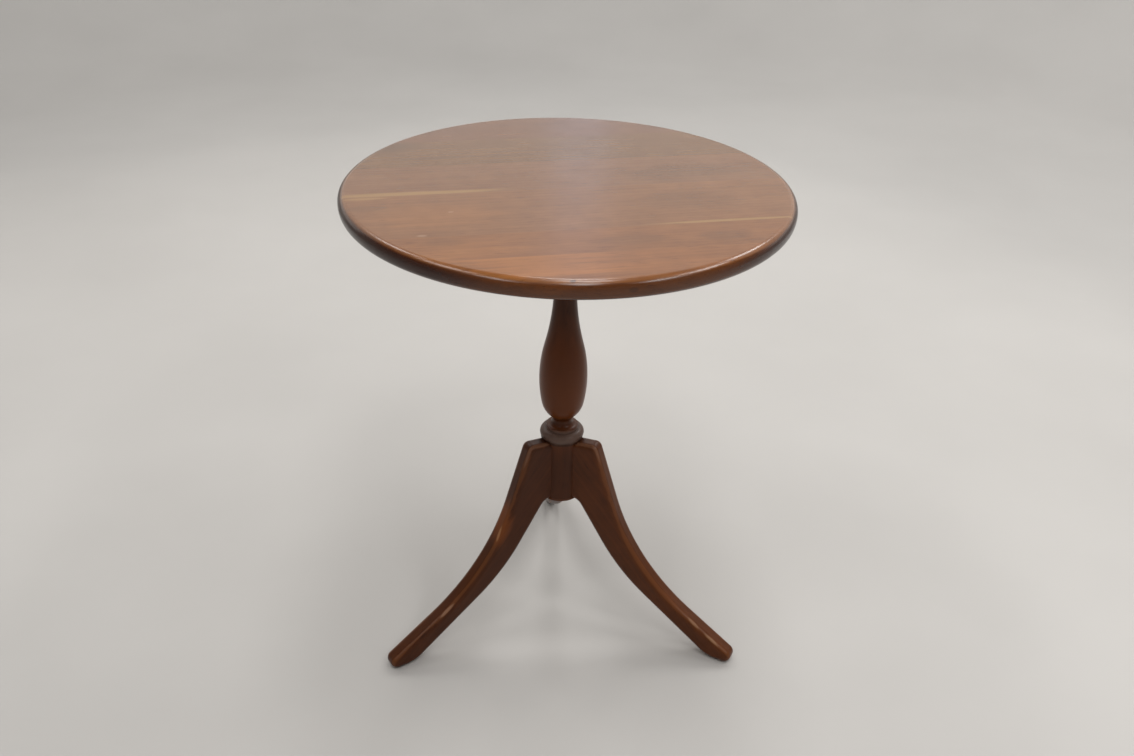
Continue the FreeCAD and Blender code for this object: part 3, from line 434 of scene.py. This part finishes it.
# Matt paint scatters the light evenly, and broad faint shades keep it from looking empty.
SHADE_WIDTH = 0.5
FLOOR_TONES = [(0.3, "#b7b4b0"), (0.7, "#bdbab6")]
matt, tree = blank_material("matt_pale_floor")
place = add(tree, "ShaderNodeTexCoord").outputs["Object"]
shades = add(tree, "ShaderNodeTexNoise", {"Vector": place, "Scale": 1 / SHADE_WIDTH, "Detail": 5.0})
colour = add(tree, "ShaderNodeValToRGB", {"Fac": shades.outputs["Fac"]}, FLOOR_TONES)
shader = add(tree, "ShaderNodeBsdfPrincipled", {"Base Color": colour.outputs["Color"], "Roughness": 0.8})
add(tree, "ShaderNodeOutputMaterial", {"Surface": shader.outputs["BSDF"]})
floor.data.materials.append(matt)

SKY_GLOW = 0.14
scene = bpy.context.scene
scene.view_settings.view_transform = "Standard"
world = bpy.data.worlds.new("soft_sky")
world.use_nodes = True
sky = world.node_tree.nodes["Background"].inputs
sky["Color"].default_value = linear("#f2f4f6")
sky["Strength"].default_value = SKY_GLOW
scene.world = world


def panel(name, spot, aim, width, height, glow, tone="#ffffff"):
    """A soft rectangular light of even glow that faces a point and isn't seen itself."""
    light = bpy.data.lights.new(name, "AREA")
    light.shape = "RECTANGLE"
    light.size = width
    light.size_y = height
    light.energy = glow * math.pi * width * height
    light.color = linear(tone)[:3]
    lamp = bpy.data.objects.new(name, light)
    lamp.location = spot
    lamp.rotation_euler = (Vector(aim) - Vector(spot)).to_track_quat("-Z", "Y").to_euler()
    lamp.visible_camera = False
    scene.collection.objects.link(lamp)


# Nine panels overhead, brighter to the right
CEILING_HEIGHT = 3.0
CEILING_PANEL = (0.5, 1.3)
for aside, glow in ((-1.5, 7.0), (0.2, 9.6), (1.9, 12.2)):
    for row in (-1.6, 0.2, 2.2):
        spot = (aside, row, CEILING_HEIGHT)
        panel(f"ceiling_{aside}_{row}", spot, (aside, row, 0), *CEILING_PANEL, glow)
# Two pale panels and a cool strip behind, which the top mirrors, as name, place, aim, width, glow and tone
BACK_MIDDLE = 1.6
BACK_HEIGHT = 1.6
WARM_WHITE = "#fffaf3"
COOL_WHITE = "#b4d4ff"
for name, spot, aim, width, glow, tone in (
    ("back_left", (-1.243, 1.848), (-0.900, 0.908), 2.96, 0.75, WARM_WHITE),
    ("back_right", (1.169, 1.402), (0.487, 0.670), 2.79, 0.74, WARM_WHITE),
    ("back_strip", (0.175, 2.304), (0.000, 0.000), 0.17, 0.42, COOL_WHITE),
):
    panel(name, (*spot, BACK_MIDDLE), (*aim, BACK_MIDDLE), width, BACK_HEIGHT, glow, tone)

# The camera, with its focal length in pixels of the photograph
EYE = (-0.0727, -1.1854, 1.0421)
YAW, PITCH, ROLL = math.radians(3.73), math.radians(30.207), math.radians(-1.602)
FOCAL_PIXELS, PHOTO_WIDTH_PIXELS = 1120, 1134
SENSOR_WIDTH = 36.0
ahead = Vector((math.sin(YAW) * math.cos(PITCH), math.cos(YAW) * math.cos(PITCH), -math.sin(PITCH)))
level = Vector((math.cos(YAW), -math.sin(YAW), 0))
below = ahead.cross(level)
right = level * math.cos(ROLL) + below * math.sin(ROLL)
down = below * math.cos(ROLL) - level * math.sin(ROLL)
camera = bpy.data.objects.new("photo_camera", bpy.data.cameras.new("photo_camera"))
camera.data.sensor_width = SENSOR_WIDTH
camera.data.lens = SENSOR_WIDTH * FOCAL_PIXELS / PHOTO_WIDTH_PIXELS
camera.matrix_world = Matrix.Translation(EYE) @ Matrix((right, -down, -ahead)).transposed().to_4x4()
scene.collection.objects.link(camera)
scene.camera = camera
